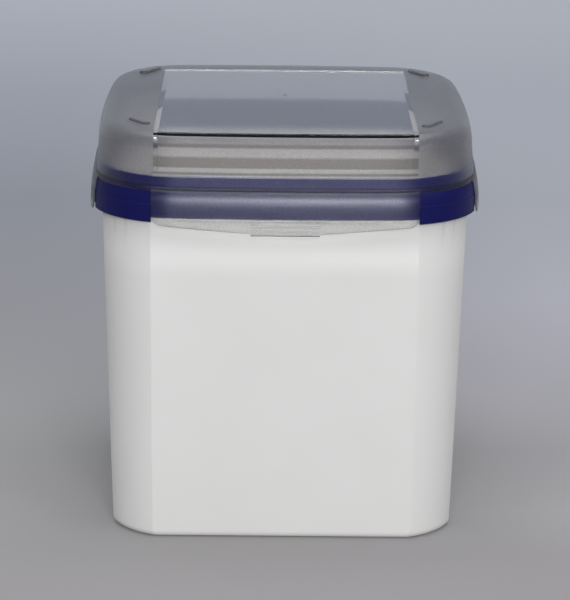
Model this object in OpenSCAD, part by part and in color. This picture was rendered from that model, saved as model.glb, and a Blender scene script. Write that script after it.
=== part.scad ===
// Square kitchen bin for rice, with a press-on sealing ring and a see-through lid that flips up.
// Units are millimetres. The front, with the lifting tab, faces -Y and the hinge is at +Y.
// The origin lies on the resting plane, under the middle of the bin.
// Every wall follows one rounded square: four corner centres, sides that bow a little, and an offset.

/* [Rounded square shared by all walls] */
// Distance of each corner centre from the middle planes
corner_c = 57; // [50:0.5:75]
// How far the middle of each side stands out beyond its ends
bow = 1.4; // [0.4:0.1:3]
// Facet count of round parts
$fn = 64; // [32:8:128]

/* [Base] */
// Corner radius of the outer wall at the top of the flat panels
base_r = 44.25; // [34:0.25:50]
// How much each wall leans in from top to bottom
base_draft = 5; // [0:0.1:8]
// Height of the rim above the resting plane
base_h = 195; // [120:1:300]
// Wall thickness
base_wall = 2.4; // [1.6:0.1:4]
// Floor thickness
base_floor = 3; // [2:0.1:6]
// Depth of the flat panels behind the round of the corners
panel_inset = 2.65; // [0.6:0.05:4]
// Height of the plain rim band above the panels
rim_band = 12; // [8:0.5:16]
// How far the rim stands out from the wall below it
rim_flare = 1.95; // [0.6:0.05:3]
// Wall thickness of the rim
rim_wall = 3.2; // [2:0.1:4]
// Rounding of the bottom edge
foot_r = 4.5; // [2:0.5:8]
// Rounding of the bottom edge under the flat panels
panel_r = 4; // [2:0.5:8]
// Width of the foot rim that the base rests on
foot_rim = 15; // [10:0.5:20]
// Depth of the recess inside the foot rim
foot_recess = 1.6; // [0.8:0.1:2.2]

/* [Sealing ring] */
// Height of the outer skirt that covers the rim
skirt_h = 17; // [14:0.2:24]
// Thickness of the outer skirt
ring_wall = 2; // [1.2:0.1:3]
// Step between the lower and the upper band of the skirt
ring_step = 0.4; // [0.2:0.1:0.8]
// Height of the lower band of the skirt
ring_lower = 9.6; // [6:0.2:12]
// Thickness of the ledge that the lid rests on
ledge_t = 2.4; // [1.8:0.1:4]
// Height of the collar that stands inside the lid
collar_h = 7; // [4:0.5:12]
// Thickness of the collar and of the plug below it
collar_t = 1.9; // [1.4:0.1:3]
// Depth of the plug below the ledge
plug_h = 10.5; // [6:0.5:14]
// Relief cut in the lower edge behind each lid skirt
relief_h = 3; // [1:0.2:6]

/* [Gaskets] */
// Thickness of the flat gasket on the rim
rim_gasket_t = 1.6; // [0.8:0.1:3]
// Width of the lid gasket
lid_gasket_w = 1.6; // [1:0.1:2.2]
// Depth of the lid gasket's groove
lid_gasket_t = 1.2; // [0.6:0.1:1.4]

/* [Lid] */
// Height of the lid above the ledge, without the raised window
lid_h = 30.8; // [24:0.2:60]
// Wall thickness
lid_wall = 1.8; // [1.2:0.1:3]
// Height of the flange round the lower edge
flange_h = 2.2; // [1.4:0.1:4]
// How far the flange stands out from the wall
flange_out = 1; // [0.6:0.1:2.4]
// How much each wall leans in from the flange to the top round
lid_draft = 1.6; // [0:0.1:3]
// Radius of the round between the walls and the top
lid_round = 10; // [5:0.5:16]

/* [Window] */
// Width of the clear window across the top and the front
window_w = 141; // [100:1:150]
// Distance of the window's back edge behind the middle
window_back = 74; // [50:1:78]
// How far the window stands proud of the lid
window_proud = 1.2; // [0.6:0.1:2]
// Thickness of the window
window_t = 2.6; // [1.8:0.1:4]
// Height of the window's lower edge above the ledge
window_sill = 8; // [5:0.5:14]
// Lean of the window's front face
window_lean = 1.9; // [0:0.1:4]

/* [Lid skirts and lifting tab] */
// Width of each skirt
skirt_w = 143.4; // [100:1:150]
// Thickness of the skirts
lid_skirt_t = 1.6; // [1:0.1:3]
// Drop of the skirts below the ledge at their ends
skirt_end = 18.2; // [12:0.2:22]
// Drop of the front skirt below the ledge beside the tab
skirt_mid = 21.6; // [14:0.2:28]
// Radius of the lower corners of the skirts
skirt_round = 6; // [2:0.5:10]
// Width of the lifting tab
tab_w = 36.8; // [20:0.5:50]
// Height of the lifting tab
tab_h = 7; // [5:0.5:10]
// How far the tab stands out from the skirt
tab_out = 1.6; // [1:0.1:4]
// Number of grip ribs on the tab
tab_ribs = 3; // [2:1:4]
// Radius of the grip ribs
tab_rib_r = 0.55; // [0.3:0.05:0.8]

/* [Stacking ribs and gate mark] */
// Distance of each stacking rib from the corner centre
rib_at = 26.8; // [14:0.2:28]
// Turn of each stacking rib about the corner centre, from the side
rib_turn = 37; // [20:1:70]
// Length of a stacking rib
rib_len = 18; // [8:0.5:20]
// Width of a stacking rib
rib_w = 3.2; // [2:0.1:4]
// Height of a stacking rib
rib_h = 1.4; // [0.6:0.1:1.8]
// Diameter of the moulding gate mark
gate_d = 3; // [2:0.5:5]
// Depth of the moulding gate mark
gate_deep = 0.5; // [0.2:0.1:0.8]

/* [Hinge] */
// Distance of each hinge from the middle
hinge_x = 42; // [25:1:50]
// Width of the lid's barrel
barrel_w = 18; // [10:1:26]
// Width of each lug on the ring
lug_w = 6; // [4:0.5:8]
// Radius of the barrel and the lugs
barrel_r = 3.2; // [2.8:0.1:4]
// Diameter of the hinge pin
pin_d = 3; // [2:0.1:3.4]
// Drop of the hinge axis below the ledge
axis_drop = 2; // [1:0.1:4]
// Space between the hinge axis and the ring's skirt
axis_out = 4.3; // [4.2:0.1:8]

/* [Fits] */
// Gap between curved walls that slide past each other
slide_gap = 0.3; // [0.2:0.05:0.6]
// Radial running gap of the hinge pin in the barrel
pin_gap = 0.06; // [0.02:0.01:0.1]
// Gap between a barrel and the lugs beside it
side_gap = 0.3; // [0.2:0.05:0.6]
// Gap between the lid wall and the collar inside it
collar_gap = 1; // [0.6:0.1:2]

/* [Hidden] */
eps = 0.01;
big = 400;
// heights, from the resting plane up
band_z = base_h - rim_band;
channel_z = base_h + rim_gasket_t;
ledge_z = channel_z + ledge_t;
ring_z = ledge_z - skirt_h;
collar_z = ledge_z + collar_h;
step_z = ring_z + ring_lower;
lid_z = ledge_z + lid_h;
window_z = lid_z + window_proud;
sill_z = ledge_z + window_sill;
axis_z = ledge_z - axis_drop;
plug_z = ledge_z - plug_h;
// the arc of each side: from the corner centres' line to its own centre, and its half angle
side_d = (corner_c * corner_c - bow * bow) / (2 * bow);
side_turn = atan(corner_c / side_d);
side_fn = 8 * 180 / side_turn;
// offsets from the corner centres, from the outside in
lean = base_draft / band_z;
foot_off = base_r - base_draft;
rim_r = base_r + rim_flare;
rim_in = rim_r - rim_wall;
ring_in = rim_r + slide_gap;
ring_out = ring_in + ring_wall;
plug_out = rim_in - slide_gap;
collar_out = plug_out + ring_step;
collar_in = collar_out - collar_t;
wall_in = collar_out + collar_gap;
wall_out = wall_in + lid_wall;
flange_r = wall_out + flange_out;
top_off = wall_out - lid_draft;
lid_skirt_in = ring_out + slide_gap;
lid_skirt_out = lid_skirt_in + lid_skirt_t;
gasket_mid = (wall_in + min(flange_r, ring_out - ring_step)) / 2;
window_off = wall_out + window_proud;
// distances of the middle of a side from the middle plane
half_side = corner_c + bow;
axis_y = half_side + ring_out + axis_out;
lug_root = half_side + ring_in + 0.1;
barrel_root = corner_c + wall_out - 0.6;
barrel_top = ledge_z + flange_h - 0.3;
// where the inside of the flat panels starts to widen towards the rim
lead_run = bow + rim_in - (base_r - panel_inset - base_wall);
lead_z = plug_z - lead_run;
lead_full = half_side + rim_in + 1;

function base_off(z) = foot_off + lean * z;
function arc_pts(x, z, r, a0, a1, n) =
    [for (i = [0:n]) let (a = a0 + (a1 - a0) * i / n) [x + r * cos(a), z + r * sin(a)]];
function mirrored(pts, shift) = concat(
    [for (p = pts) [shift + p.x, p.y]],
    [for (i = [len(pts) - 1:-1:0]) [-shift - pts[i].x, pts[i].y]]);

// one copy of the children at each corner centre, turned to face outward
module at_corners()
    for (k = [0:3])
        rotate([0, 0, 90 * k])
            translate([corner_c, corner_c, 0])
                children();

// the profile of one side, turned through the side's own arc
module side_arc(pts, turn)
    translate([corner_c - side_d, 0, 0])
        rotate([0, 0, -turn])
            rotate_extrude(angle = 2 * turn, $fn = side_fn)
                translate([side_d + bow, 0])
                    polygon(pts);

// a filled rounded square whose edge follows the points, given as offset and height
module block(pts) {
    low = pts[0].y;
    high = pts[len(pts) - 1].y;
    at_corners()
        rotate([0, 0, side_turn])
            rotate_extrude(angle = 90 - 2 * side_turn)
                polygon(concat([[0, low]], pts, [[0, high]]));
    for (k = [0:3])
        rotate([0, 0, 90 * k])
            side_arc(concat([[-bow - 2, low]], pts, [[-bow - 2, high]]), side_turn);
    translate([-corner_c, -corner_c, low])
        cube([2 * corner_c, 2 * corner_c, high - low]);
}

// a closed profile swept once round the rounded square
module band(pts) {
    at_corners()
        rotate([0, 0, side_turn])
            rotate_extrude(angle = 90 - 2 * side_turn)
                polygon(pts);
    for (k = [0:3])
        rotate([0, 0, 90 * k])
            side_arc(pts, side_turn);
}

// a square prism whose four sides follow the points, given as half width and height
module four_sides(pts)
    intersection() {
        rotate([90, 0, 90])
            linear_extrude(height = big, center = true)
                polygon(mirrored(pts, 0));
        rotate([90, 0, 0])
            linear_extrude(height = big, center = true)
                polygon(mirrored(pts, 0));
    }

// the edge of the flat panels, leaning out and rounded at the foot, as half width and height
function panel_pts(low, high, inset) = concat(
    arc_pts(corner_c + base_off(low + panel_r) - inset - panel_r, low + panel_r,
        panel_r, -90, 0, 4),
    [[corner_c + base_off(high) - inset, high]]);

module base()
    color("whitesmoke")
    difference() {
        union() {
            intersection() {
                block(concat(
                    arc_pts(base_off(foot_r) - foot_r, foot_r, foot_r, -90, 0, 5),
                    [[base_off(band_z), band_z]]));
                four_sides(panel_pts(0, band_z, panel_inset));
            }
            block([
                [base_r, band_z], [rim_r, band_z + 2],
                [rim_r, base_h - 0.6], [rim_r - 0.6, base_h]
            ]);
        }
        // the inside widens from the flat panels to the bowed rim over a slope
        intersection() {
            block(concat(
                arc_pts(base_off(base_floor) - base_wall - foot_r, base_floor + foot_r,
                    foot_r, -90, 0, 5),
                [[base_r - base_wall, band_z], [rim_in, plug_z],
                 [rim_in, base_h + 1]]));
            four_sides(concat(
                panel_pts(base_floor, lead_z, panel_inset + base_wall),
                [[lead_full, plug_z + 1], [lead_full, base_h + 2]]));
        }
        block([[foot_off - foot_rim, -1], [foot_off - foot_rim, foot_recess]]);
    }

module sealing_ring() {
    color("midnightblue")
    difference() {
        union() {
            band([
                [ring_in, ring_z], [ring_out - 0.4, ring_z], [ring_out, ring_z + 0.4],
                [ring_out, step_z], [ring_out - ring_step, step_z + ring_step],
                [ring_out - ring_step, ledge_z - 0.5], [ring_out - ring_step - 0.5, ledge_z],
                [collar_out, ledge_z], [collar_out, collar_z - 0.5],
                [collar_out - 0.5, collar_z], [collar_in, collar_z],
                [collar_in, ledge_z - ledge_t], [plug_out - collar_t, ledge_z - ledge_t],
                [plug_out - collar_t, plug_z], [plug_out - 0.6, plug_z],
                [plug_out, plug_z + 1.2], [plug_out, channel_z],
                [ring_in, channel_z]
            ]);
            for (side = [-1, 1])
                translate([side * hinge_x, 0, 0])
                    hinge_lugs();
        }
        band([
            [gasket_mid - lid_gasket_w / 2, ledge_z - lid_gasket_t],
            [gasket_mid + lid_gasket_w / 2, ledge_z - lid_gasket_t],
            [gasket_mid + lid_gasket_w / 2, ledge_z + 1],
            [gasket_mid - lid_gasket_w / 2, ledge_z + 1]
        ]);
        for (k = [-1:1])
            rotate([0, 0, 90 * k])
                translate([-skirt_w / 2, -half_side - ring_out - 1, ring_z - 1])
                    cube([skirt_w, bow + ring_out + 1, 1 + relief_h]);
    }
}

// two lugs that hold one pin, on the back of the ring
module hinge_lugs()
    for (side = [-1, 1])
        translate([side * (barrel_w / 2 + side_gap + lug_w / 2), 0, 0])
            difference() {
                rotate([90, 0, 90])
                    linear_extrude(height = lug_w, center = true) {
                        translate([axis_y, axis_z])
                            circle(barrel_r);
                        polygon([
                            [lug_root, ring_z + 5],
                            [axis_y + barrel_r * cos(-30), axis_z + barrel_r * sin(-30)],
                            [axis_y + barrel_r * cos(120), axis_z + barrel_r * sin(120)],
                            [lug_root + 0.4, ledge_z - 0.6],
                            [lug_root, ledge_z - 0.6]
                        ]);
                    }
                translate([0, axis_y, axis_z])
                    rotate([0, 90, 0])
                        cylinder(d = pin_d, h = lug_w + 2, center = true);
            }

module rim_gasket()
    color("lightslategray")
    band([
        [rim_in, base_h], [rim_r, base_h],
        [rim_r, channel_z], [rim_in, channel_z]
    ]);

module lid_gasket()
    color("slategray")
    band([
        [gasket_mid - lid_gasket_w / 2, ledge_z - lid_gasket_t],
        [gasket_mid + lid_gasket_w / 2, ledge_z - lid_gasket_t],
        [gasket_mid + lid_gasket_w / 2, ledge_z],
        [gasket_mid - lid_gasket_w / 2, ledge_z]
    ]);

// the space inside the lid
module lid_cavity() {
    inner_round = lid_round - lid_wall;
    inner_top = lid_z - lid_wall;
    block(concat(
        [[wall_in, ledge_z - 1], [wall_in, ledge_z + flange_h]],
        arc_pts(top_off - lid_wall - inner_round, inner_top - inner_round,
            inner_round, 0, 90, 6)));
}

// the raised window, whose front follows the lid and leans back, shrunk by a wall all round
module window_prism(shrink)
    intersection() {
        block([
            [window_off - shrink, sill_z + shrink],
            [window_off - shrink - window_lean, window_z - shrink - 0.6],
            [window_off - shrink - window_lean - 0.6, window_z - shrink]
        ]);
        translate([-window_w / 2 + shrink, -big / 2, 0])
            cube([window_w - 2 * shrink, big / 2 + window_back - shrink, big]);
    }

module lid_shell() {
    color("lightslategray", 0.6)
    difference() {
        union() {
            block(concat(
                [[flange_r, ledge_z], [flange_r, ledge_z + flange_h - 0.6],
                 [flange_r - 0.6, ledge_z + flange_h], [wall_out, ledge_z + flange_h]],
                arc_pts(top_off - lid_round, lid_z - lid_round, lid_round, 0, 90, 6)));
            for (k = [-1:1])
                rotate([0, 0, 90 * k])
                    lid_skirt(k == 0 ? skirt_mid : skirt_end);
            lifting_tab();
            for (x = [-1, 1], y = [-1, 1])
                stacking_rib(x, y);
            for (side = [-1, 1])
                translate([side * hinge_x, 0, 0])
                    lid_barrel();
        }
        lid_cavity();
        window_prism(0);
        for (side = [-1, 1])
            translate([side * hinge_x, axis_y, axis_z])
                rotate([0, 90, 0])
                    cylinder(r = pin_d / 2 + pin_gap, h = barrel_w + 2, center = true);
    }
}

// a skirt that hangs from the flange over the ring, drawn for the front
module lid_skirt(drop) {
    low = ledge_z - drop;
    end = ledge_z - skirt_end;
    half = skirt_w / 2;
    web_top = ledge_z + flange_h - 0.7;
    web_low = ledge_z + 0.3;
    intersection() {
        rotate([0, 0, -90])
            side_arc([
                [lid_skirt_in, low - 1], [lid_skirt_out, low - 1],
                [lid_skirt_out, ledge_z - 9], [lid_skirt_out - 0.5, web_top - 0.3],
                [flange_r - 1, web_top], [wall_in - 1, web_top],
                [wall_in - 1, web_low], [lid_skirt_in, web_low]
            ], 1.5 * side_turn);
        rotate([90, 0, 0])
            linear_extrude(height = big)
                polygon(concat(
                    [[half, ledge_z + flange_h + 1], [-half, ledge_z + flange_h + 1]],
                    arc_pts(-half + skirt_round, end + skirt_round, skirt_round, 180, 255, 5),
                    [[-tab_w / 2, low], [tab_w / 2, low]],
                    arc_pts(half - skirt_round, end + skirt_round, skirt_round, 285, 360, 5)));
    }
}

// the ribbed pad under the fingertips
module lifting_tab() {
    low = ledge_z - skirt_mid - 0.7;
    root = half_side + lid_skirt_in;
    face = half_side + lid_skirt_out + tab_out;
    pitch = (tab_h - 1) / tab_ribs;
    rotate([90, 0, 90])
        linear_extrude(height = tab_w, center = true)
            polygon([
                [-root, low],
                [-face + 0.4, low],
                [-face, low + 0.4],
                [-face, low + tab_h - 0.8],
                [-half_side - lid_skirt_out, low + tab_h],
                [-root, low + tab_h]
            ]);
    for (i = [0:tab_ribs - 1])
        translate([0, -face, low + 0.8 + pitch * (i + 0.3)])
            rotate([0, 90, 0])
                cylinder(r = tab_rib_r, h = tab_w - 2, center = true);
}

// a low rib across one corner of the top, which keeps a stacked bin from sliding
module stacking_rib(x, y)
    translate([
        x * (corner_c + rib_at * cos(rib_turn)),
        y * (corner_c + rib_at * sin(rib_turn)),
        lid_z - 0.5
    ])
        rotate([0, 0, x * y * (90 + rib_turn)])
            linear_extrude(height = rib_h + 0.5) {
                square([rib_len - rib_w, rib_w], center = true);
                for (side = [-1, 1])
                    translate([side * (rib_len - rib_w) / 2, 0])
                        circle(rib_w / 2);
            }

// the barrel on the back of the flange that turns on a pin
module lid_barrel()
    rotate([90, 0, 90])
        linear_extrude(height = barrel_w, center = true) {
            translate([axis_y, axis_z])
                circle(barrel_r);
            polygon([
                [barrel_root, ledge_z + 0.2],
                [half_side + ring_out + 0.6, ledge_z + 0.2],
                [axis_y - barrel_r * cos(20), axis_z + barrel_r * sin(20)],
                [axis_y + barrel_r * cos(60), axis_z + barrel_r * sin(60)],
                [axis_y - 1, barrel_top],
                [barrel_root, barrel_top]
            ]);
        }

module window_panel()
    color("lightsteelblue", 0.4)
    difference() {
        window_prism(0);
        lid_cavity();
        window_prism(window_t);
        translate([0, 0, window_z - gate_deep])
            cylinder(d = gate_d, h = gate_deep + 1);
    }

module hinge_pin(side)
    color("silver")
    translate([side * hinge_x, axis_y, axis_z])
        rotate([0, 90, 0])
            cylinder(d = pin_d, h = barrel_w + 2 * side_gap + 2 * lug_w, center = true);

base();
sealing_ring();
rim_gasket();
lid_gasket();
lid_shell();
window_panel();
hinge_pin(-1);  // hinge_pin_left
hinge_pin(1);  // hinge_pin_right
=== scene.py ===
# %% [markdown]
# # A rice bin with a see-through flip lid
# The bin is made of three large plastic mouldings: a white square base, a dark blue ring that presses over
# its rim, and a smoke-grey lid, frosted all round but with a polished window across its top and front.
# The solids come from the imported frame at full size. This lesson gives them their finish. It rebuilds
# the base, the ring, the lid's shell and the window as clean quad meshes, because glass-like plastic
# shows every facet.

# %% Load the frame
from math import acos, atan2, cos, pi, radians, sin, sqrt
import bmesh
import bpy
from mathutils import Matrix, Vector


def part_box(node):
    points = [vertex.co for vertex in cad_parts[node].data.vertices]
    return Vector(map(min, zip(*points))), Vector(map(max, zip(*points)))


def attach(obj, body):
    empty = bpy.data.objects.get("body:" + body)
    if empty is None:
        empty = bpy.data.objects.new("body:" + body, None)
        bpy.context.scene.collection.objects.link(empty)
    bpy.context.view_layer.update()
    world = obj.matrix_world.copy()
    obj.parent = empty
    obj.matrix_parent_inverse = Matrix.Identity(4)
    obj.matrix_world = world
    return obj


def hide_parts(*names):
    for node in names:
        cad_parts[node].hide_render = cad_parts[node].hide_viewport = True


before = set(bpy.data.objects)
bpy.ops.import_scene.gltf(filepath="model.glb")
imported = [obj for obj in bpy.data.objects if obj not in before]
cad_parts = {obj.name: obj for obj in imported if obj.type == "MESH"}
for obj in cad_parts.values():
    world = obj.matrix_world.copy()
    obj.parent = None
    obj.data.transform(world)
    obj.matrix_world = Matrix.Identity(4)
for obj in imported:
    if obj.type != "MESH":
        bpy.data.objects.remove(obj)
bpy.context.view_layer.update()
print("nodes:", sorted(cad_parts))

# %% [markdown]
# ## The camera
# The photograph looks down on the bin from a little above, through a long lens, so that its sides stay
# nearly parallel. The distance of 1.5 m was chosen. The lens, the camera's height and sideways
# shift, its tilt, its turn and its roll were then fitted to the base's outline and creases, the edges of
# the ring and the flange, the window's corners and the ribs.

# %% Place the camera
CAMERA_SPOT = Vector((-0.0122, -1.5, 0.5354))
TILT_DOWN = 0.276
TURN_RIGHT = 0.009
ROLL = 0.012
SENSOR_WIDTH = 36
FOCAL_PIXELS = 2701.5
PHOTO_WIDTH = 570
lens = bpy.data.cameras.new("photo_lens")
lens.sensor_fit = "HORIZONTAL"
lens.sensor_width = SENSOR_WIDTH
lens.lens = SENSOR_WIDTH * FOCAL_PIXELS / PHOTO_WIDTH
camera = bpy.data.objects.new("photo_camera", lens)
bpy.context.scene.collection.objects.link(camera)
turn = Matrix.Rotation(-TURN_RIGHT, 4, "Z")
tilt = Matrix.Rotation(pi / 2 - TILT_DOWN, 4, "X")
roll = Matrix.Rotation(ROLL, 4, "Z")
camera.matrix_world = Matrix.Translation(CAMERA_SPOT) @ turn @ tilt @ roll
bpy.context.scene.camera = camera
print("lens", round(lens.lens, 1), "mm")

# %% [markdown]
# ## Sizes taken from the frame
# Every wall of the bin follows one rounded square: four corner centres, sides that bow out a little, and
# an offset from them. The outermost offsets and the main heights are read from the boxes of the packed
# nodes. The others are given here.

# %% Read the sizes
MM = 0.001
CORNER = 57 * MM
BOW = 1.4 * MM
SIDE_D = (CORNER * CORNER - BOW * BOW) / (2 * BOW)
SIDE_TURN = atan2(CORNER, SIDE_D)
HALF_SIDE = CORNER + BOW
base_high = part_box("base")[1]
ring_low, ring_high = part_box("sealing_ring")
lid_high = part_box("lid_shell")[1]
window_low, window_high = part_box("window_panel")
seal_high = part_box("lid_gasket")[1]
pin_low, pin_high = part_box("hinge_pin_left")
rim_z = base_high[2]
ledge_z = seal_high[2]
collar_z = ring_high[2]
rim_off = base_high[0] - HALF_SIDE
print("rim", round(rim_z, 4), "ledge", round(ledge_z, 4), "collar", round(collar_z, 4))

# %% [markdown]
# ## Helpers for meshes on a rounded square
# A moulded shell like this is a profile carried round a rounded square. One loop of points is laid for
# each step of the profile, and neighbouring loops are joined with quads. A loft gives even quads, which
# shade smoothly, where a boolean of boxes and cylinders would leave long thin faces.

# %% One loop round the rounded square
ARC_STEPS = 20
FLAT_STEPS = 10
HOLD = 0.5 * MM


def side_point(offset, z, turn):
    """A point on the bowed side that faces +Y, at an angle from its middle."""
    radius = SIDE_D + BOW + offset
    return Vector((radius * sin(turn), CORNER - SIDE_D + radius * cos(turn), z))


def steps_between(start, end, hold, steps):
    """Even steps, with one more just inside each end, which keeps a crease beside it crisp."""
    inner = [start + (end - start) * (hold + (1 - 2 * hold) * i / (steps - 2)) for i in range(steps - 1)]
    return [start] + inner + [end]


def loop_round(offset, z, inset=0.0):
    """Points of one loop. The inset planes the flats back and leaves a crease beside each corner."""
    crease = acos(1 - inset / offset) if inset else SIDE_TURN
    hold = HOLD / (offset * (pi / 2 - 2 * crease))
    points = []
    for quarter in range(4):
        turn = Matrix.Rotation(quarter * pi / 2, 3, "Z")
        for angle in steps_between(crease, pi / 2 - crease, hold, ARC_STEPS):
            corner = Vector((CORNER + offset * cos(angle), CORNER + offset * sin(angle), z))
            points.append(turn @ corner)
        end = Vector((CORNER + offset * sin(crease), CORNER + offset * cos(crease), z))
        for part in steps_between(1, -1, HOLD / (2 * end.x), FLAT_STEPS)[1:-1]:
            flat = Vector((end.x * part, end.y, z))
            points.append(turn @ (flat if inset else side_point(offset, z, SIDE_TURN * part)))
    return points


def arc(x, z, radius, start, end, steps):
    """Points of an arc in a profile, as pairs of offset and height."""
    turns = [radians(start + (end - start) * i / steps) for i in range(steps + 1)]
    return [(x + radius * cos(t), z + radius * sin(t)) for t in turns]


def add_object(name, mesh):
    piece = bpy.data.objects.new(name, mesh)
    bpy.context.scene.collection.objects.link(piece)
    return piece


def skin(name, rows, closed=False):
    """A solid of quads between neighbouring rows of points. It gets two caps, unless it closes up."""
    work = bmesh.new()
    rows = [[work.verts.new(point) for point in row] for row in rows]
    pairs = list(zip(rows, rows[1:]))
    if closed:
        pairs.append((rows[-1], rows[0]))
    for near, far in pairs:
        for i in range(len(near)):
            j = (i + 1) % len(near)
            work.faces.new((near[i], near[j], far[j], far[i]))
    if not closed:
        work.faces.new(list(reversed(rows[0])))
        work.faces.new(rows[-1])
    bmesh.ops.recalc_face_normals(work, faces=work.faces)
    mesh = bpy.data.meshes.new(name)
    work.to_mesh(mesh)
    work.free()
    return add_object(name, mesh)


def loft(name, profile, closed=False, insets=None):
    """A solid from a profile of (offset, height) pairs. An open profile gets a cap at each end."""
    insets = insets or [0.0] * len(profile)
    piece = skin(name, [loop_round(*step, inset) for step, inset in zip(profile, insets)], closed)
    print(name, len(piece.data.polygons), "faces")
    return piece


# %% [markdown]
# ## Joining and cutting
# Skirts, ribs and barrels are moulded in one with the lid, so they are joined to it, and openings are cut
# out of it. A boolean modifier does both. It is applied at once, so the finished piece is a plain mesh.

# %% Prisms, booleans and a softened edge
def prism(name, outline, low, high, axis):
    """A solid from a flat outline. For axis X the outline is (y, z), for Y (x, z) and for Z (x, y)."""
    place = {
        "X": lambda a, b, d: (d, a, b),
        "Y": lambda a, b, d: (a, d, b),
        "Z": lambda a, b, d: (a, b, d),
    }[axis]
    return skin(name, [[place(a, b, d) for a, b in outline] for d in (low, high)])


def apply_modifiers(piece):
    ready = piece.evaluated_get(bpy.context.evaluated_depsgraph_get())
    mesh = bpy.data.meshes.new_from_object(ready)
    old = piece.data
    piece.modifiers.clear()
    piece.data = mesh
    bpy.data.meshes.remove(old)


def combine(piece, tool, operation):
    """Joins or cuts a piece with a tool, which is used up."""
    step = piece.modifiers.new("step", "BOOLEAN")
    step.operation = operation
    step.solver = "EXACT"
    step.object = tool
    apply_modifiers(piece)
    bpy.data.meshes.remove(tool.data)


def soften(piece, width):
    """Rounds every edge sharper than 30 degrees a little, then shades the piece smoothly."""
    edge = piece.modifiers.new("soft edges", "BEVEL")
    edge.width = width
    edge.segments = 2
    edge.limit_method = "ANGLE"
    edge.angle_limit = radians(30)
    edge.harden_normals = True
    piece.data.shade_smooth()
    apply_modifiers(piece)


def swept_side(name, profile, rear_end):
    """A closed profile of (offset, height) pairs swept along one side and a little round its corners.

    The front end always follows the round of the corner. The other end follows it too, or runs on along
    the arc of the side, which leaves it clear of the ring while the lid turns.
    """
    around = radians(22)
    path = [("corner", -(around - (around - SIDE_TURN) * i / 8)) for i in range(8)]
    path += [("side", SIDE_TURN * i / 10) for i in range(-10, 11)]
    if rear_end:
        path += [("side", SIDE_TURN * (1 + 0.5 * i / 6)) for i in range(1, 7)]
    else:
        path += [("corner", SIDE_TURN + (around - SIDE_TURN) * i / 8) for i in range(1, 9)]
    rows = []
    for kind, angle in path:
        row = []
        for offset, z in profile:
            if kind == "side":
                x, y = side_point(offset, z, angle).xy
            else:
                x = (CORNER if angle > 0 else -CORNER) + offset * sin(angle)
                y = CORNER + offset * cos(angle)
            row.append((x, -y, z))
        rows.append(row)
    return skin(name, rows)


def finish_piece(piece, body, nodes, material):
    """Gives a piece its material and says which body it rides on and which nodes it replaces."""
    piece.data.materials.clear()
    piece.data.materials.append(material)
    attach(piece, body)
    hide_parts(*nodes)


# %% [markdown]
# ## White polypropylene
# The base is a matte white plastic, a little warm, with a very fine moulded grain. The grain is a noise
# texture on the bump input, and a wide, faint noise varies the roughness, as years of wiping do.

# %% Material of the base
def new_material(name):
    material = bpy.data.materials.new(name)
    material.use_nodes = True
    nodes = material.node_tree.nodes
    return material, material.node_tree.links, nodes, nodes["Principled BSDF"]


def noise(nodes, scale, detail=3.0, rough=0.5):
    texture = nodes.new("ShaderNodeTexNoise")
    texture.inputs["Scale"].default_value = scale
    texture.inputs["Detail"].default_value = detail
    texture.inputs["Roughness"].default_value = rough
    return texture


def map_values(nodes, links, source, low, high, start=0.0, end=1.0):
    """Stretches a value that runs from start to end, so that it runs from low to high."""
    scaled = nodes.new("ShaderNodeMapRange")
    scaled.inputs["From Min"].default_value = start
    scaled.inputs["From Max"].default_value = end
    scaled.inputs["To Min"].default_value = low
    scaled.inputs["To Max"].default_value = high
    links.new(source, scaled.inputs["Value"])
    return scaled.outputs["Result"]


def mix_colours(nodes, links, factor, first, second):
    tone = nodes.new("ShaderNodeMix")
    tone.data_type = "RGBA"
    tone.inputs["A"].default_value = first
    tone.inputs["B"].default_value = second
    links.new(factor, tone.inputs["Factor"])
    return tone.outputs["Result"]


def vary_colour(nodes, links, shader, texture, first, second):
    """Lets the base colour wander between two colours with a noise."""
    mixed = mix_colours(nodes, links, texture.outputs["Fac"], first, second)
    links.new(mixed, shader.inputs["Base Color"])


def vary_roughness(nodes, links, shader, texture, low, high):
    """Lets the roughness wander between two values with a noise."""
    rough = map_values(nodes, links, texture.outputs["Fac"], low, high)
    links.new(rough, shader.inputs["Roughness"])


def object_coordinates(nodes, links, *textures):
    place = nodes.new("ShaderNodeTexCoord")
    for texture in textures:
        links.new(place.outputs["Object"], texture.inputs["Vector"])


def split_coordinates(nodes, links):
    """The object's own X, Y and Z as three outputs."""
    place = nodes.new("ShaderNodeTexCoord")
    split = nodes.new("ShaderNodeSeparateXYZ")
    links.new(place.outputs["Object"], split.inputs["Vector"])
    return split.outputs


def let_lamps_through(nodes, links, shader, tint):
    """Lamps shine through tinted plastic, where plain glass would throw a black shadow."""
    path = nodes.new("ShaderNodeLightPath")
    clear = nodes.new("ShaderNodeBsdfTransparent")
    clear.inputs["Color"].default_value = tint
    choice = nodes.new("ShaderNodeMixShader")
    links.new(path.outputs["Is Shadow Ray"], choice.inputs["Fac"])
    links.new(shader.outputs[0], choice.inputs[1])
    links.new(clear.outputs["BSDF"], choice.inputs[2])
    links.new(choice.outputs["Shader"], nodes["Material Output"].inputs["Surface"])
    return clear


def add_bump(nodes, links, shader, texture, strength, distance):
    bump = nodes.new("ShaderNodeBump")
    bump.inputs["Strength"].default_value = strength
    bump.inputs["Distance"].default_value = distance
    links.new(texture.outputs["Fac"], bump.inputs["Height"])
    links.new(bump.outputs["Normal"], shader.inputs["Normal"])


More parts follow.
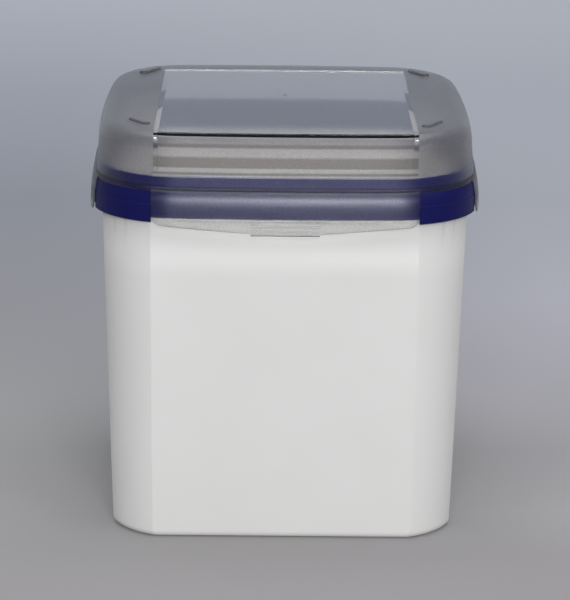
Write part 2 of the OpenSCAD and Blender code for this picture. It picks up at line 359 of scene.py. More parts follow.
def white_plastic():
    material, links, nodes, shader = new_material("white_polypropylene")
    grain = noise(nodes, 1400, 2)
    wiping = noise(nodes, 22, 4)
    object_coordinates(nodes, links, grain, wiping)
    vary_colour(nodes, links, shader, wiping, (0.735, 0.73, 0.71, 1), (0.77, 0.765, 0.75, 1))
    vary_roughness(nodes, links, shader, wiping, 0.4, 0.52)
    shader.inputs["Specular IOR Level"].default_value = 0.4
    shader.inputs["Subsurface Weight"].default_value = 0.02
    shader.inputs["Subsurface Radius"].default_value = (0.004, 0.0035, 0.003)
    shader.inputs["Subsurface Scale"].default_value = 1.0
    add_bump(nodes, links, shader, grain, 0.12, 0.0002)
    return material


base_material = white_plastic()
print("made", base_material.name)

# %% [markdown]
# ## The base
# Its walls lean in towards the foot. Each of the four sides is planed flat 2.65 mm behind the round of
# the corners, which gives the fine upright creases in the photograph. Above the flats the wall flares
# out to the bowed rim, which the ring hides. Inside, the wall follows the panels at an even thickness.
# The loops lie closer near the foot and the rim, where the form changes.

# %% Model the base
PANEL_INSET = 2.65 * MM
DRAFT = 5 * MM
WALL = 2.4 * MM
FLOOR = 3 * MM
RIM_BAND = 12 * MM
RIM_FLARE = 1.25 * MM
RIM_WALL = 3.2 * MM
FOOT_ROUND = 4.5 * MM
FLAT_ROUND = 4 * MM
FOOT_RIM = 15 * MM
FOOT_RECESS = 1.6 * MM
PLUG = 10.5 * MM
EDGE = 0.6 * MM
OUTER_LOOPS = (0.006, 0.03, 0.07, 0.11, 0.15)
INNER_LOOPS = (0.11, 0.06, 0.009)
base_off = rim_off - RIM_FLARE
rim_in = rim_off - RIM_WALL
band_z = rim_z - RIM_BAND
plug_z = ledge_z - PLUG


def base_at(z):
    """Offset of the base's outer wall at a height."""
    return base_off - DRAFT + DRAFT * z / band_z


def rounded_foot(floor_z, wall):
    """Rows of the round at the foot, whose radius is a little smaller under the flats."""
    rows = []
    middle = base_at(floor_z + FOOT_ROUND) - wall - FOOT_ROUND
    for offset, z in arc(middle, floor_z + FOOT_ROUND, FOOT_ROUND, -90, 0, 10):
        drop = max(0.0, floor_z + FLAT_ROUND - z)
        flat = base_at(max(z, floor_z + FLAT_ROUND)) - wall - PANEL_INSET - FLAT_ROUND
        flat += sqrt(max(0.0, FLAT_ROUND * FLAT_ROUND - drop * drop))
        rows.append((offset, z, offset - flat))
    return rows


def make_base():
    foot = base_at(0)
    rows = [(foot - FOOT_RIM, FOOT_RECESS, 0), (foot - FOOT_RIM, 0, 0)]
    rows += rounded_foot(0, 0)
    rows += [(base_at(z), z, PANEL_INSET) for z in (*OUTER_LOOPS, band_z)]
    rows += [(base_off, band_z, 0), (rim_off, band_z + 2 * MM, 0), (rim_off, rim_z - EDGE, 0)]
    rows += [(rim_off - EDGE, rim_z, 0), (rim_in, rim_z, 0), (rim_in, plug_z, 0)]
    rows += [(base_at(z) - WALL, z, PANEL_INSET) for z in (band_z, *INNER_LOOPS)]
    rows += list(reversed(rounded_foot(FLOOR, WALL)))
    piece = loft("white_base", [(o, z) for o, z, inset in rows], insets=[inset for o, z, inset in rows])
    soften(piece, 0.4 * MM)
    return piece


base = make_base()
finish_piece(base, "base", ["base"], base_material)

# %% [markdown]
# ## Dark blue plastic
# The ring is softer than the base and has a satin shine. Its blue is nearly black in the shade, so the
# colour stays low, and so do the highlights.

# %% Material of the ring
def blue_plastic():
    material, links, nodes, shader = new_material("satin_blue")
    grain = noise(nodes, 1800, 2)
    handling = noise(nodes, 40, 3)
    object_coordinates(nodes, links, grain, handling)
    vary_colour(nodes, links, shader, handling, (0.003, 0.0036, 0.072, 1), (0.004, 0.005, 0.086, 1))
    vary_roughness(nodes, links, shader, handling, 0.34, 0.46)
    shader.inputs["Specular IOR Level"].default_value = 0.2
    add_bump(nodes, links, shader, grain, 0.1, 0.0002)
    return material


ring_material = blue_plastic()
print("made", ring_material.name)

# %% [markdown]
# ## The sealing ring
# One closed profile goes round: an outer skirt in two bands, a ledge for the lid, a collar that stands
# up inside the lid, and a plug that reaches down inside the base. The lower edge is relieved behind each
# skirt of the lid, and four lugs at the back hold the hinge pins. The upper band tapers inwards.

# %% Model the ring
ring_off = ring_high[0] - HALF_SIDE
skirt_in = rim_off + 0.3 * MM
step_z = ring_low[2] + 9.6 * MM
channel_z = rim_z + 1.6 * MM
plug_off = rim_in - 0.3 * MM
collar_off = plug_off + 0.4 * MM
THICK = 1.9 * MM
RELIEF = 3 * MM
SKIRT_W = 143.4 * MM
AXIS_Y = (pin_low[1] + pin_high[1]) / 2
AXIS_Z = (pin_low[2] + pin_high[2]) / 2
BARREL_R = 3.2 * MM
BARREL_W = 18 * MM
LUG_W = 6 * MM
LUG_BORE = 1.5 * MM
BARREL_BORE = 1.56 * MM
LEDGE = 2.4 * MM
CHANNEL_W = 1.6 * MM
CHANNEL_H = 1.2 * MM
HINGE_X = -(pin_low[0] + pin_high[0]) / 2


def ring_profile():
    """The closed profile, from the lower edge up the outside and down the inside."""
    gasket_out = seal_high[0] - HALF_SIDE
    gasket_in = gasket_out - CHANNEL_W
    upper = ring_off - 0.4 * MM
    low = ring_low[2]
    return [
        (skirt_in, low), (upper, low), (ring_off, low + 0.4 * MM),
        (ring_off, step_z), (upper, step_z + 0.4 * MM), (upper, ledge_z - 6 * MM),
        (upper - 0.7 * MM, ledge_z - 1.6 * MM), (upper - 1.4 * MM, ledge_z),
        (gasket_out, ledge_z), (gasket_out, ledge_z - CHANNEL_H),
        (gasket_in, ledge_z - CHANNEL_H), (gasket_in, ledge_z), (collar_off, ledge_z),
        (collar_off, collar_z - 0.5 * MM), (collar_off - 0.5 * MM, collar_z),
        (collar_off - THICK, collar_z), (collar_off - THICK, ledge_z - LEDGE),
        (plug_off - THICK, ledge_z - LEDGE), (plug_off - THICK, plug_z),
        (plug_off - EDGE, plug_z), (plug_off, plug_z + 1.2 * MM),
        (plug_off, channel_z), (skirt_in, channel_z),
    ]


def circle(x, z, radius):
    """The outline of a bore, in 24 points."""
    return arc(x, z, radius, 0, 345, 23)


def hinge_lug(center_x):
    """A lug with a round end about the hinge axis, rooted in the ring's skirt."""
    root = HALF_SIDE + skirt_in + 0.1 * MM
    outline = [(root, ring_low[2] + 5 * MM)]
    outline += arc(AXIS_Y, AXIS_Z, BARREL_R, -30, 120, 14)
    outline += [(root + 0.4 * MM, ledge_z - 0.6 * MM), (root, ledge_z - 0.6 * MM)]
    return prism("lug", outline, center_x - LUG_W / 2, center_x + LUG_W / 2, "X")


def relief_cutter(quarter):
    """A block that takes off the lower edge behind one skirt of the lid."""
    half = SKIRT_W / 2
    far = HALF_SIDE + ring_off + 1 * MM
    low = ring_low[2]
    outline = [(-half, -far), (half, -far), (half, -CORNER), (-half, -CORNER)]
    cutter = prism("relief", outline, low - 1 * MM, low + RELIEF, "Z")
    cutter.data.transform(Matrix.Rotation(quarter * pi / 2, 4, "Z"))
    return cutter


def bore_hinge(piece, side, radius):
    """Bores the hole for the pin on one side, right through the lugs and the barrel."""
    middle = side * HINGE_X
    hole = circle(AXIS_Y, AXIS_Z, radius)
    combine(piece, prism("bore", hole, middle - BARREL_W, middle + BARREL_W, "X"), "DIFFERENCE")


def make_ring():
    piece = loft("blue_ring", ring_profile(), closed=True)
    for quarter in (-1, 0, 1):
        combine(piece, relief_cutter(quarter), "DIFFERENCE")
    for side in (-1, 1):
        for end in (-1, 1):
            center = side * HINGE_X + end * (BARREL_W / 2 + 0.3 * MM + LUG_W / 2)
            combine(piece, hinge_lug(center), "UNION")
        bore_hinge(piece, side, LUG_BORE)
    soften(piece, 0.25 * MM)
    return piece


ring = make_ring()
finish_piece(ring, "ring", ["sealing_ring"], ring_material)
print("ring", len(ring.data.polygons), "faces")

# %% [markdown]
# ## Frosted and polished smoke-grey plastic
# The lid is one tint of clear plastic in two finishes. Light passes through both, so both are glass
# shaders with a grey colour. The frosted one has a high roughness, which blurs what lies far behind it and
# keeps what nearly touches it sharp, and a fine bump that sparkles. The window is almost mirror smooth.
# Both tints change with the height. Partly that is the plastic's own tint and partly it is painted light:
# painted highlights and painted shade draw the light and dark lines which the photograph shows at the
# flange, at the skirt's shoulder and inside the window's front. A third, darker material is painted shade
# on the narrow edges, for the dark lines that refraction draws there, where one also looks along the
# plastic and its tint adds up.

# %% Materials of the lid
# the tint of the frosted plastic by height in millimetres, with painted highlight lines and painted shade
# lines at its steps, and a top painted lighter than the sides
FROSTED_TINTS_AND_PAINTED_LINES = [
    (178, (0.74, 0.74, 0.735)), (186, (0.74, 0.74, 0.75)), (187.5, (0.53, 0.54, 0.64)),
    (194, (0.51, 0.52, 0.62)), (195.6, (0.80, 0.80, 0.84)), (197.2, (0.56, 0.56, 0.62)),
    (199.6, (0.50, 0.50, 0.55)), (200.6, (0.86, 0.85, 0.84)), (201.4, (0.48, 0.48, 0.54)),
    (202.2, (0.84, 0.84, 0.92)), (204, (0.74, 0.76, 0.92)), (206.8, (0.74, 0.77, 0.93)),
    (207.8, (0.60, 0.60, 0.66)), (209, (0.68, 0.68, 0.70)), (231, (0.79, 0.79, 0.81)),
]
# and of the polished plastic, with painted shade in dark bands and painted highlights in light bands at
# the heights of its inside steps
POLISHED_TINTS_AND_PAINTED_BANDS = [
    (206, (0.95, 0.95, 0.94)), (208.2, (0.95, 0.94, 0.93)), (208.9, (0.36, 0.34, 0.33)),
    (209.5, (0.36, 0.34, 0.33)), (210.2, (0.98, 0.97, 0.96)), (211.8, (0.98, 0.97, 0.96)),
    (212.6, (0.32, 0.29, 0.28)), (217.4, (0.34, 0.31, 0.295)), (218.8, (0.90, 0.88, 0.86)),
    (222.6, (0.88, 0.86, 0.84)), (223.4, (0.36, 0.345, 0.34)), (224.6, (0.38, 0.365, 0.365)),
    (225.6, (0.88, 0.87, 0.86)), (227.8, (1.0, 1.0, 1.0)), (229, (0.90, 0.905, 0.93)),
]
# the shadow's tint, light under the thin skirts below the flange and deeper under the lid above it
SKIRT_SHADE = (0.85, 0.85, 0.85, 1)
LID_SHADE = (0.66, 0.65, 0.65, 1)
WINDOW_SHADE = (0.44, 0.43, 0.42, 1)
SHADE_LOW = 0.1995
SHADE_HIGH = 0.204


def frosted_plastic():
    material, links, nodes, shader = new_material("frosted_smoke_plastic")
    sparkle = noise(nodes, 1300, 2, 0.7)
    cloud = noise(nodes, 30, 3)
    object_coordinates(nodes, links, sparkle, cloud)
    height = split_coordinates(nodes, links)["Z"]
    # the height tint with its painted highlight and shade lines, multiplied by the sparkle specks
    grain = nodes.new("ShaderNodeMix")
    grain.data_type = "RGBA"
    grain.blend_type = "MULTIPLY"
    grain.inputs["Factor"].default_value = 1.0
    links.new(height_colours(nodes, links, height, FROSTED_TINTS_AND_PAINTED_LINES), grain.inputs["A"])
    specks = map_values(nodes, links, sparkle.outputs["Fac"], 0.72, 1.16, 0.3, 0.7)
    links.new(specks, grain.inputs["B"])
    links.new(grain.outputs["Result"], shader.inputs["Base Color"])
    shader.inputs["Specular IOR Level"].default_value = 0.06
    shader.inputs["Transmission Weight"].default_value = 1.0
    shader.inputs["IOR"].default_value = 1.36
    vary_roughness(nodes, links, shader, cloud, 0.26, 0.34)
    add_bump(nodes, links, shader, sparkle, 0.18, 0.0003)
    clear = let_lamps_through(nodes, links, shader, (1, 1, 1, 1))
    rise = map_values(nodes, links, height, 0.0, 1.0, SHADE_LOW, SHADE_HIGH)
    links.new(mix_colours(nodes, links, rise, SKIRT_SHADE, LID_SHADE), clear.inputs["Color"])
    return material


def colour_ramp(nodes, links, place, stops):
    """A colour for each place between the first and the last stop. A stop is a place and a colour."""
    low = stops[0][0]
    span = stops[-1][0] - low
    ramp = nodes.new("ShaderNodeValToRGB")
    first, last = ramp.color_ramp.elements
    first.position = 0.0
    first.color = (*stops[0][1], 1)
    last.position = 1.0
    last.color = (*stops[-1][1], 1)
    for at, colour in stops[1:-1]:
        ramp.color_ramp.elements.new((at - low) / span).color = (*colour, 1)
    links.new(place, ramp.inputs["Fac"])
    return ramp.outputs["Color"]


def height_colours(nodes, links, height, stops):
    """A colour ramp along the height, whose stops are in millimetres."""
    place = map_values(nodes, links, height, 0.0, 1.0, stops[0][0] * MM, stops[-1][0] * MM)
    return colour_ramp(nodes, links, place, stops)


def edge_shade_plastic():
    material, links, nodes, shader = new_material("smoke_plastic_painted_edge_shade")
    grain = noise(nodes, 900, 2)
    object_coordinates(nodes, links, grain)
    # a near-black opaque tone: painted shade for the dark lines along the narrow edges
    vary_colour(nodes, links, shader, grain, (0.05, 0.05, 0.055, 1), (0.10, 0.10, 0.105, 1))
    shader.inputs["Roughness"].default_value = 0.35
    return material


def polished_plastic():
    material, links, nodes, shader = new_material("polished_smoke_plastic")
    flow = noise(nodes, 14, 1)
    wear = noise(nodes, 220, 4)
    object_coordinates(nodes, links, flow, wear)
    height = split_coordinates(nodes, links)["Z"]
    # the window's tint with its painted shade bands and painted highlight bands
    links.new(height_colours(nodes, links, height, POLISHED_TINTS_AND_PAINTED_BANDS), shader.inputs["Base Color"])
    shader.inputs["Transmission Weight"].default_value = 1.0
    shader.inputs["IOR"].default_value = 1.49
    vary_roughness(nodes, links, shader, wear, 0.01, 0.06)
    add_bump(nodes, links, shader, flow, 0.05, 0.001)
    let_lamps_through(nodes, links, shader, WINDOW_SHADE)
    return material


lid_material = frosted_plastic()
window_material = polished_plastic()
edge_shade_material = edge_shade_plastic()
print("made", lid_material.name, window_material.name, edge_shade_material.name)

# %% [markdown]
# ## The lid's shell
# Outside and inside are two nested lofts in one profile, capped at the top. The flange sits on the
# ring's ledge. The window is a solid block between two side planes and a back plane, which is hollowed
# out later on.

# %% Sizes of the lid
LID_WALL = 1.8 * MM
FLANGE_H = 2.2 * MM
FLANGE_OUT = 1 * MM
LID_DRAFT = 1.1 * MM
LID_ROUND = 10 * MM
PROUD = 1.2 * MM
wall_in = collar_off + 1.0 * MM
wall_out = wall_in + LID_WALL
flange_off = wall_out + FLANGE_OUT
top_off = wall_out - LID_DRAFT
window_top = window_high[2]
lid_top = window_top - PROUD
sill_z = window_low[2]
lid_skirt_in = ring_off + 0.3 * MM
lid_skirt_out = lid_skirt_in + 1.6 * MM
window_off = -window_low[1] - HALF_SIDE
back_y = window_high[1]
half_window = window_high[0]
LEAN = 1.9 * MM
SKIRT_END = 18.2 * MM
SKIRT_MID = 21.6 * MM
TAB_W = 36.8 * MM
RIB_LENGTH = 18 * MM
RIB_WIDTH = 4.4 * MM
RIB_X = 79.2 * MM
RIB_REAR_Y = 72.6 * MM
RIB_FRONT_Y = -69.8 * MM
RIB_TURN = radians(121)
RIB_FOOT = 0.45 * MM
RIB_ROOT = 0.5 * MM
TAB_HEIGHT = 7 * MM
GRIP_RIBS = 3
GRIP_PITCH = 2 * MM
GRIP_R = 0.55 * MM
SKIRT_ROUND = 6 * MM
NARROW_FACE = 36 * MM * MM
GLASS = 2.6 * MM
SEAM = 0.04 * MM


def cavity_rows(floor_z):
    """Profile of the space inside the lid, from the bottom up."""
    radius = LID_ROUND - LID_WALL
    top = lid_top - LID_WALL
    rows = [(wall_in, floor_z), (wall_in, ledge_z + FLANGE_H)]
    return rows + arc(top_off - LID_WALL - radius, top - radius, radius, 0, 90, 10)


def window_rows(shrink):
    """Profile of the raised window's edge, from the sill up, shrunk by a wall all round."""
    front = window_off - shrink
    top = window_top - shrink
    return [(front, sill_z + shrink), (front - LEAN, top - 0.6 * MM), (front - LEAN - 0.6 * MM, top)]


def window_block(name, shrink):
    """The window as a solid block: the lid's outline between two side planes and a back plane."""
    solid = loft(name, window_rows(shrink))
    half = half_window - shrink
    outline = [(-half, -0.2), (half, -0.2), (half, back_y - shrink), (-half, back_y - shrink)]
    combine(solid, prism("slab", outline, 0.1, 0.3, "Z"), "INTERSECT")
    return solid


print("lid wall", round(wall_out, 4), "flange", round(flange_off, 4), "top", round(lid_top, 4))

# %% [markdown]
# ## Skirts, tab, ribs and barrels
# Three skirts hang from the flange over the ring. The front one carries the ribbed tab, the side ones are
# thinner and stay closer to the ring. Four stacking ribs cross the corners of the top, and two barrels
# reach back to the hinge axis.

# %% Parts that are joined to the shell
def hanging_skirt(drop, rear_end):
    """A skirt with its web into the flange, drawn for the front. A side skirt has a rear end."""
    low = ledge_z - drop
    end = ledge_z - SKIRT_END
    half = SKIRT_W / 2
    bend = half - SKIRT_ROUND
    tab = TAB_W / 2
    top = ledge_z + FLANGE_H + MM
    if rear_end:
        side = [
            (ring_off + 0.25 * MM, low - MM), (ring_off + 0.7 * MM, low - MM),
            (ring_off + 0.95 * MM, ledge_z - 14 * MM), (ring_off + 0.85 * MM, ledge_z - 10 * MM),
            (ring_off + 0.4 * MM, ledge_z - 5 * MM), (ring_off - 0.3 * MM, ledge_z - 1.4 * MM),
        ]
        inner = [
            (ring_off - 1.2 * MM, ledge_z + 0.3 * MM), (ring_off - 0.75 * MM, ledge_z - 1.5 * MM),
            (ring_off - 0.15 * MM, ledge_z - 5.8 * MM), (ring_off + 0.25 * MM, ledge_z - 7.4 * MM),
        ]
    else:
        outer = lid_skirt_out
        side = [
            (lid_skirt_in, low - MM), (outer, low - MM), (outer, ledge_z - 9 * MM),
            (outer - 0.4 * MM, ledge_z - 5 * MM), (outer - 1.1 * MM, ledge_z - 1.6 * MM),
        ]
        inner = [
            (lid_skirt_in - 1.5 * MM, ledge_z + 0.3 * MM), (lid_skirt_in - 1.0 * MM, ledge_z - 1.6 * MM),
            (lid_skirt_in - 0.4 * MM, ledge_z - 5.6 * MM), (lid_skirt_in, ledge_z - 7.4 * MM),
        ]
    web = [
        (ring_off - 0.7 * MM, ledge_z + 0.6 * MM), (flange_off - MM, ledge_z + 1.6 * MM),
        (wall_in - MM, ledge_z + 1.6 * MM), (wall_in - MM, ledge_z + 0.3 * MM),
    ]
    side += web + inner
    face = [(half, top), (-half, top)]
    face += arc(-bend, end + SKIRT_ROUND, SKIRT_ROUND, 180, 255, 8)
    face += [(-tab, low), (tab, low)]
    face += arc(bend, end + SKIRT_ROUND, SKIRT_ROUND, 285, 360, 8)
    skirt = swept_side("skirt", side, rear_end)
    combine(skirt, prism("face", face, -0.2, 0.0, "Y"), "INTERSECT")
    return skirt


def lifting_tab():
    """The pad under the fingertips, with three fine grip ribs across its face."""
    low = ledge_z - SKIRT_MID - 0.7 * MM
    top = low + TAB_HEIGHT
    root = HALF_SIDE + lid_skirt_in
    face = HALF_SIDE + lid_skirt_out + 1.6 * MM
    outline = [(-root, low), (-face + 0.4 * MM, low), (-face, low + 0.4 * MM)]
    for rib in range(GRIP_RIBS):
        center = low + 1.4 * MM + GRIP_PITCH * rib
        outline += arc(-face, center, GRIP_R, -90, -270, 6)
    outline += [
        (-face, top - 1.1 * MM), (-face + 0.6 * MM, top - 0.3 * MM),
        (-HALF_SIDE - lid_skirt_out, top), (-root, top),
    ]
    return prism("tab", outline, -TAB_W / 2, TAB_W / 2, "X")


def stacking_rib(x, y):
    """A low rounded rib across one corner of the top. The signs x and y choose the corner."""
    half = (RIB_LENGTH - RIB_WIDTH) / 2
    outline = [(half + a, b) for a, b in arc(0, 0, RIB_WIDTH / 2, -90, 90, 8)]
    outline += [(-half + a, b) for a, b in arc(0, 0, RIB_WIDTH / 2, 90, 270, 8)]
    rib = prism("rib", outline, lid_top - RIB_ROOT, lid_high[2], "Z")
    wider = [(a * 1.02, b * 1.16) for a, b in outline]
    combine(rib, prism("rib foot", wider, lid_top - RIB_ROOT, lid_top + RIB_FOOT, "Z"), "UNION")
    middle = (x * RIB_X, RIB_REAR_Y if y > 0 else RIB_FRONT_Y, 0)
    place = Matrix.Translation(middle) @ Matrix.Rotation(x * y * RIB_TURN, 4, "Z")
    rib.data.transform(place)
    return rib


def lid_barrel(side):
    """A barrel about the hinge axis, with the arm that carries it. The sign side is -1 or 1."""
    top = ledge_z + FLANGE_H - 0.3 * MM
    root = CORNER + wall_out - 0.6 * MM
    outline = [(root, ledge_z + 0.2 * MM), (HALF_SIDE + ring_off + 0.6 * MM, ledge_z + 0.2 * MM)]
    outline += arc(AXIS_Y, AXIS_Z, BARREL_R, 160, 430, 24)
    outline += [(AXIS_Y - 1 * MM, top), (root, top)]
    x = side * HINGE_X
    return prism("barrel", outline, x - BARREL_W / 2, x + BARREL_W / 2, "X")


print("axis at", round(AXIS_Y, 4), round(AXIS_Z, 4))

# %% [markdown]
# ## Joining the shell
# All these parts are joined to the shell one by one, and the place of the window is cut away. The narrow
# faces along the edges of the skirts, the tab and the ribs then get the darker edge material, which is
# painted shade.

# %% Model the lid's shell
def window_gap():
    """The opening that the window fills, cut from its sill right up."""
    outline = [(-half_window, -0.2), (half_window, -0.2), (half_window, back_y), (-half_window, back_y)]
    return prism("window cut", outline, sill_z, 0.3, "Z")


def make_shell():
    outer = [(flange_off, ledge_z), (flange_off, ledge_z + FLANGE_H - 0.6 * MM),
             (flange_off - 0.6 * MM, ledge_z + FLANGE_H), (wall_out, ledge_z + FLANGE_H)]
    outer += arc(top_off - LID_ROUND, lid_top - LID_ROUND, LID_ROUND, 0, 90, 12)
    inner = list(reversed(cavity_rows(ledge_z)))
    piece = loft("frosted_lid", inner + outer)
    for quarter, drop in ((-1, SKIRT_END), (0, SKIRT_MID), (1, SKIRT_END)):
        skirt = hanging_skirt(drop, quarter != 0)
        if quarter == -1:
            skirt.data.transform(Matrix.Scale(-1, 4, (1, 0, 0)))
            skirt.data.flip_normals()
        skirt.data.transform(Matrix.Rotation(quarter * pi / 2, 4, "Z"))
        combine(piece, skirt, "UNION")
    combine(piece, lifting_tab(), "UNION")
    for x, y in ((-1, -1), (1, -1), (1, 1), (-1, 1)):
        combine(piece, stacking_rib(x, y), "UNION")
    for side in (-1, 1):
        combine(piece, lid_barrel(side), "UNION")
        bore_hinge(piece, side, BARREL_BORE)
    combine(piece, window_gap(), "DIFFERENCE")
    soften(piece, 0.2 * MM)
    return piece


def is_skirt_edge(face):
    """Whether a face below the flange is narrow and turned away from its side. The tab's face isn't."""
    x, y, z = face.center
    outward = abs(face.normal.y) if abs(y) > abs(x) else abs(face.normal.x)
    turned = outward < (0.93 if z < ledge_z - 9 * MM else 0.5)
    narrow = face.area < NARROW_FACE or face.normal.z < 0.3
    above_tab_low = z - ledge_z + SKIRT_MID
    on_tab = y < 0 and abs(x) < TAB_W / 2 - 0.5 * MM and 0 < above_tab_low < 5.1 * MM
    hanging = z < ledge_z - 2 * MM and y < HALF_SIDE
    return hanging and turned and narrow and not on_tab


def is_rib_edge(face):
    """Whether a face belongs to the foot or to the upper rim of a stacking rib."""
    z = face.center.z
    foot = lid_top + 0.05 * MM < z < lid_top + 0.5 * MM and face.normal.z < 0.6
    rim = z > lid_high[2] - 0.4 * MM and face.normal.z < 0.92
    return foot or rim


def mark_edges(piece):
    """Gives the narrow edges of the skirts, the tab and the ribs the darker material of painted edge
    shade.
    """
    piece.data.materials.append(edge_shade_material)
    edges = [face for face in piece.data.polygons if is_skirt_edge(face) or is_rib_edge(face)]
    for face in edges:
        face.material_index = 1
    print("edge faces", len(edges))


shell = make_shell()
finish_piece(shell, "lid", ["lid_shell"], lid_material)
mark_edges(shell)
print("shell", len(shell.data.polygons), "faces")

# %% [markdown]
# ## The window
# A bent plate, 2.6 mm thick, crosses the top and drops down the front, with cheeks that fill the round
# of the lid at both ends of the bend. It stands 1.2 mm proud with a crisp edge, and has a small round
# mark in the middle where the plastic entered the mould. The edges at its sides and its rear are frosted.

# %% Model the window
GATE_R = 1.5 * MM
GATE_DEPTH = 0.5 * MM
FRONT_PLATE_Y = -90 * MM


def make_window():
    piece = window_block("clear_window", SEAM)
    combine(piece, loft("cavity", cavity_rows(ledge_z - MM)), "DIFFERENCE")
    combine(piece, window_block("pocket", GLASS), "DIFFERENCE")
    mark = prism("mark", circle(0, 0, GATE_R), window_top - GATE_DEPTH, window_top + MM, "Z")
    combine(piece, mark, "DIFFERENCE")
    soften(piece, 0.35 * MM)
    return piece


def frost_the_ends(piece):
    """The polish stops at the top's side and rear edges, which are frosted like the lid."""
    piece.data.materials.append(lid_material)
    for face in piece.data.polygons:
        on_side = abs(face.normal.x) > 0.5 and face.center.y > FRONT_PLATE_Y
        if face.normal.y > 0.5 or on_side:
            face.material_index = 1


window = make_window()
finish_piece(window, "lid", ["window_panel"], window_material)
frost_the_ends(window)
print("window", len(window.data.polygons), "faces")

# %% [markdown]
# ## Gaskets and pins
# These pieces keep their solids, because their shape is already right and little of them shows. The
# gaskets are grey silicone, dull and slightly mottled. The pins are drawn steel, whose fine lines run
# along the wire, so the noise is stretched along X.

# %% Materials of the gaskets and the pins
def silicone():
    material, links, nodes, shader = new_material("grey_silicone")
    mottle = noise(nodes, 300, 3)
    object_coordinates(nodes, links, mottle)
    vary_colour(nodes, links, shader, mottle, (0.16, 0.165, 0.18, 1), (0.2, 0.205, 0.22, 1))
    shader.inputs["Roughness"].default_value = 0.6
    add_bump(nodes, links, shader, mottle, 0.1, 0.0002)
    return material


def drawn_steel():
    material, links, nodes, shader = new_material("drawn_steel")
    lines = noise(nodes, 900, 3)
    place = nodes.new("ShaderNodeTexCoord")
    stretch = nodes.new("ShaderNodeMapping")
    stretch.inputs["Scale"].default_value = (0.03, 1, 1)
    links.new(place.outputs["Object"], stretch.inputs["Vector"])
    links.new(stretch.outputs["Vector"], lines.inputs["Vector"])
    shader.inputs["Base Color"].default_value = (0.55, 0.55, 0.54, 1)
    shader.inputs["Metallic"].default_value = 1.0
    vary_roughness(nodes, links, shader, lines, 0.25, 0.42)
    return material


def dress_node(name, material):
    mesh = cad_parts[name].data
    for i in range(len(mesh.materials)):
        mesh.materials[i] = material
    if not mesh.materials:
        mesh.materials.append(material)


gasket_material = silicone()
pin_material = drawn_steel()
for name in ("rim_gasket", "lid_gasket"):
    dress_node(name, gasket_material)
for name in ("hinge_pin_left", "hinge_pin_right"):
    dress_node(name, pin_material)
print("dressed the gaskets and the pins")

# %% [markdown]
# ## Floor, backdrop and light
# The photograph was taken on a pale grey cloth that runs up into a blue-grey backdrop. One curved sheet
# plays both, and its tone changes along the sweep and from left to right. Part of that change is painted
# light: the right side is lighter than the left behind the bin, and a lighter band beside the bin offsets
# its contact shadow.

# %% Build the stage
STAGE_FRONT = -3.0
STAGE_HALF = 3.0
STAGE_DEPTH = 3.4
STAGE_BEND = 0.5
STAGE_TOP = 2.6


def make_stage():
    flat_end = STAGE_DEPTH - STAGE_BEND
    line = [(STAGE_FRONT, 0.0), (-1.0, 0.0), (flat_end, 0.0)]
    line += [(flat_end + y, STAGE_BEND + z) for y, z in arc(0, 0, STAGE_BEND, -90, 0, 16)]
    line += [(STAGE_DEPTH, STAGE_TOP)]
    work = bmesh.new()
    sides = [[work.verts.new((x, y, z)) for y, z in line] for x in (-STAGE_HALF, STAGE_HALF)]
    for i in range(len(line) - 1):
        work.faces.new((sides[0][i], sides[1][i], sides[1][i + 1], sides[0][i + 1]))
    mesh = bpy.data.meshes.new("cloth_sweep")
    work.to_mesh(mesh)
    work.free()
    mesh.shade_smooth()
    return add_object("cloth_sweep", mesh)


# the tone on the left and on the right, at places along the sweep in metres: the cloth's own grey and
# blue-grey, with painted light, the right lighter than the left behind the bin and a lighter band beside
# the bin that offsets its contact shadow
LEFT_CLOTH_AND_LIGHT_TONES = [
    (-0.2, (0.385, 0.37, 0.37)), (-0.12, (0.40, 0.39, 0.39)), (-0.05, (0.43, 0.42, 0.42)),
    (0.06, (0.40, 0.40, 0.395)), (0.4, (0.38, 0.38, 0.405)), (0.7, (0.38, 0.395, 0.44)),
    (1.15, (0.53, 0.56, 0.62)), (1.8, (0.86, 0.89, 0.95)),
]
RIGHT_CLOTH_AND_LIGHT_TONES = [
    (-0.2, (0.38, 0.36, 0.37)), (-0.12, (0.39, 0.375, 0.38)), (-0.05, (0.46, 0.45, 0.455)),
    (0.06, (0.405, 0.395, 0.41)), (0.4, (0.52, 0.52, 0.575)), (0.7, (0.51, 0.525, 0.575)),
    (1.15, (0.61, 0.63, 0.69)), (1.8, (0.86, 0.89, 0.94)),
]


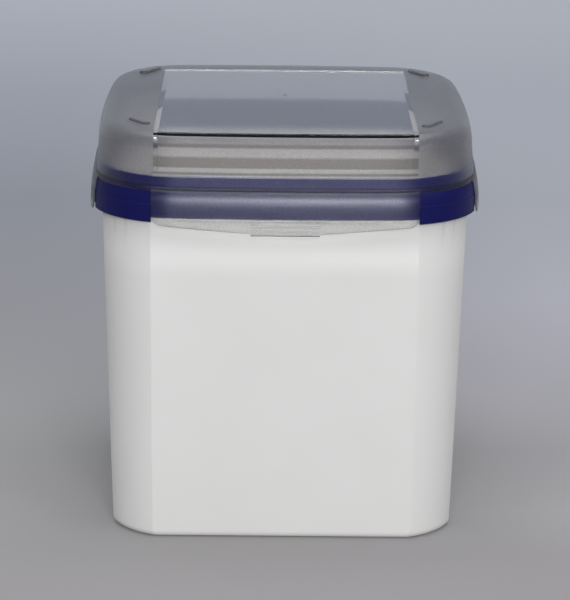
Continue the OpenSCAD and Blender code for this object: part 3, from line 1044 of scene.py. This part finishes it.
def stage_material():
    """A cloth whose tone changes along the sweep, from the table in front up to the backdrop, and from
    left to right; part of that change is painted light.
    """
    material, links, nodes, shader = new_material("pale_cloth")
    split = split_coordinates(nodes, links)
    along = nodes.new("ShaderNodeMath")
    along.operation = "ADD"
    links.new(split["Y"], along.inputs[0])
    links.new(split["Z"], along.inputs[1])
    near, far = LEFT_CLOTH_AND_LIGHT_TONES[0][0], LEFT_CLOTH_AND_LIGHT_TONES[-1][0]
    place = map_values(nodes, links, along.outputs["Value"], 0.0, 1.0, near, far)
    shade = nodes.new("ShaderNodeMix")
    shade.data_type = "RGBA"
    across = map_values(nodes, links, split["X"], 0.0, 1.0, -0.2, 0.2)
    links.new(across, shade.inputs["Factor"])
    links.new(colour_ramp(nodes, links, place, LEFT_CLOTH_AND_LIGHT_TONES), shade.inputs["A"])
    links.new(colour_ramp(nodes, links, place, RIGHT_CLOTH_AND_LIGHT_TONES), shade.inputs["B"])
    links.new(shade.outputs["Result"], shader.inputs["Base Color"])
    shader.inputs["Roughness"].default_value = 0.9
    shader.inputs["Specular IOR Level"].default_value = 0.1
    return material


sweep = make_stage()
sweep.data.materials.append(stage_material())

# %% [markdown]
# ## The light
# Large soft lamps in front, at the side and overhead keep the shadows faint, and the world adds an even,
# slightly blue glow. The view transform is the plain one, so a colour renders about as it is written.

# %% Place the lamps
def soft_lamp(name, spot, target, size, watts):
    """A square or oblong lamp that looks at its target."""
    light = bpy.data.lights.new(name, "AREA")
    light.shape = "RECTANGLE"
    light.size, light.size_y = size
    light.energy = watts
    lamp = bpy.data.objects.new(name, light)
    bpy.context.scene.collection.objects.link(lamp)
    lamp.location = spot
    lamp.rotation_euler = (Vector(target) - Vector(spot)).to_track_quat("-Z", "Y").to_euler()


soft_lamp("front_softbox", (0.15, -2.4, 0.8), (0, 0, 0.1), (1.2, 0.9), 35)
soft_lamp("side_softbox", (1.7, -1.2, 1.2), (0, 0, 0.12), (1.0, 1.0), 3)
soft_lamp("top_softbox", (0, 0.1, 2.0), (0, 0, 0.2), (1.6, 1.2), 17)

world = bpy.data.worlds.new("soft_room")
bpy.context.scene.world = world
world.use_nodes = True
glow = world.node_tree.nodes["Background"]
glow.inputs["Color"].default_value = (0.9, 0.93, 1.0, 1)
glow.inputs["Strength"].default_value = 0.32
bpy.context.scene.view_settings.view_transform = "Standard"
print("lamps placed")
